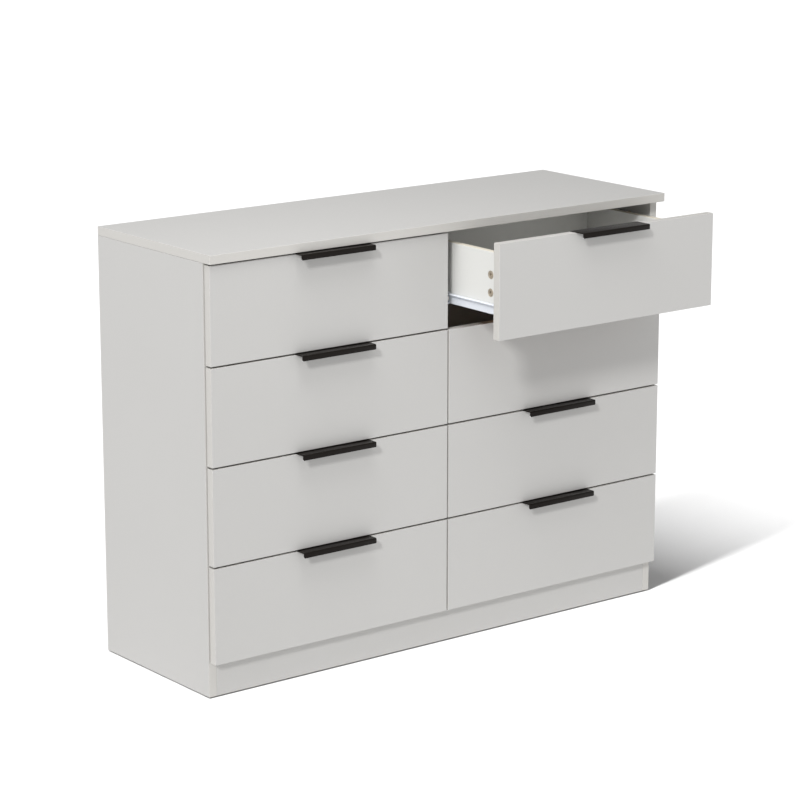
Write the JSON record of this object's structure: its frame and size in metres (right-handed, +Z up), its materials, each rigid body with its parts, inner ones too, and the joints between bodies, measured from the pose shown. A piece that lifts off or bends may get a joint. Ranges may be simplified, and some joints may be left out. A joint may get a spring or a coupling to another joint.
{
  "type": "chest of drawers",
  "caption": "Wide white chest of drawers in two columns: overlay fronts with black edge pulls on roller runners, in a panel carcass on a recessed plinth, one drawer part open.",
  "frame": {"origin": "on the floor, under the centre of the top panel, on the underside of the centre foot", "axes": "+Z up, +Y to the back (drawers open towards -Y), +X to the right as seen from the front"},
  "size_m": [1.025, 0.504, 0.78],
  "materials": {
    "melamine": "chipboard faced with light warm grey-white melamine, faint pearl texture, satin",
    "drawer_melamine": "chipboard faced with white melamine, satin, cream edge banding",
    "hardboard": "thin hardboard, one face lacquered white",
    "pull_black": "satin black powder coat on folded sheet",
    "runner_white": "white epoxy coat on folded steel strip",
    "nylon": "natural white moulded nylon",
    "fitting_metal": "cast zinc alloy and yellow-passivated steel",
    "beech": "bare fluted beech dowel"
  },
  "bodies": {
    "carcass": {"top_panel": "melamine", "left_side_panel": "melamine", "right_side_panel": "melamine", "centre_divider": "melamine", "bottom_panel": "melamine", "plinth": "melamine", "centre_foot": "melamine", "back_panel": "hardboard", "carcass_runners": "runner_white", "carcass_rollers": "nylon", "carcass_fittings": "fitting_metal", "dowels": "beech"},
    "left_drawer_1": {"left_drawer_1_front": "melamine", "left_drawer_1_pull": "pull_black", "left_drawer_1_box": "drawer_melamine", "left_drawer_1_bottom": "hardboard", "left_drawer_1_runners": "runner_white", "left_drawer_1_fittings": "fitting_metal"},
    "left_drawer_2": {"left_drawer_2_front": "melamine", "left_drawer_2_pull": "pull_black", "left_drawer_2_box": "drawer_melamine", "left_drawer_2_bottom": "hardboard", "left_drawer_2_runners": "runner_white", "left_drawer_2_fittings": "fitting_metal"},
    "left_drawer_3": {"left_drawer_3_front": "melamine", "left_drawer_3_pull": "pull_black", "left_drawer_3_box": "drawer_melamine", "left_drawer_3_bottom": "hardboard", "left_drawer_3_runners": "runner_white", "left_drawer_3_fittings": "fitting_metal"},
    "left_drawer_4": {"left_drawer_4_front": "melamine", "left_drawer_4_pull": "pull_black", "left_drawer_4_box": "drawer_melamine", "left_drawer_4_bottom": "hardboard", "left_drawer_4_runners": "runner_white", "left_drawer_4_fittings": "fitting_metal"},
    "right_drawer_1": {"right_drawer_1_front": "melamine", "right_drawer_1_pull": "pull_black", "right_drawer_1_box": "drawer_melamine", "right_drawer_1_bottom": "hardboard", "right_drawer_1_runners": "runner_white", "right_drawer_1_fittings": "fitting_metal"},
    "right_drawer_2": {"right_drawer_2_front": "melamine", "right_drawer_2_pull": "pull_black", "right_drawer_2_box": "drawer_melamine", "right_drawer_2_bottom": "hardboard", "right_drawer_2_runners": "runner_white", "right_drawer_2_fittings": "fitting_metal"},
    "right_drawer_3": {"right_drawer_3_front": "melamine", "right_drawer_3_pull": "pull_black", "right_drawer_3_box": "drawer_melamine", "right_drawer_3_bottom": "hardboard", "right_drawer_3_runners": "runner_white", "right_drawer_3_fittings": "fitting_metal"},
    "right_drawer_4": {"right_drawer_4_front": "melamine", "right_drawer_4_pull": "pull_black", "right_drawer_4_box": "drawer_melamine", "right_drawer_4_bottom": "hardboard", "right_drawer_4_runners": "runner_white", "right_drawer_4_fittings": "fitting_metal"}
  },
  "joints": [
    {"name": "left_drawer_1_slide", "type": "slide", "parent": "carcass", "child": "left_drawer_1", "axis": [0, -1, 0], "range_m": [0, 0.225]},
    {"name": "left_drawer_2_slide", "type": "slide", "parent": "carcass", "child": "left_drawer_2", "axis": [0, -1, 0], "range_m": [0, 0.225]},
    {"name": "left_drawer_3_slide", "type": "slide", "parent": "carcass", "child": "left_drawer_3", "axis": [0, -1, 0], "range_m": [0, 0.225]},
    {"name": "left_drawer_4_slide", "type": "slide", "parent": "carcass", "child": "left_drawer_4", "axis": [0, -1, 0], "range_m": [0, 0.225]},
    {"name": "right_drawer_1_slide", "type": "slide", "parent": "carcass", "child": "right_drawer_1", "axis": [0, -1, 0], "range_m": [-0.139, 0.086]},
    {"name": "right_drawer_2_slide", "type": "slide", "parent": "carcass", "child": "right_drawer_2", "axis": [0, -1, 0], "range_m": [0, 0.225]},
    {"name": "right_drawer_3_slide", "type": "slide", "parent": "carcass", "child": "right_drawer_3", "axis": [0, -1, 0], "range_m": [0, 0.225]},
    {"name": "right_drawer_4_slide", "type": "slide", "parent": "carcass", "child": "right_drawer_4", "axis": [0, -1, 0], "range_m": [0, 0.225]}
  ]
}
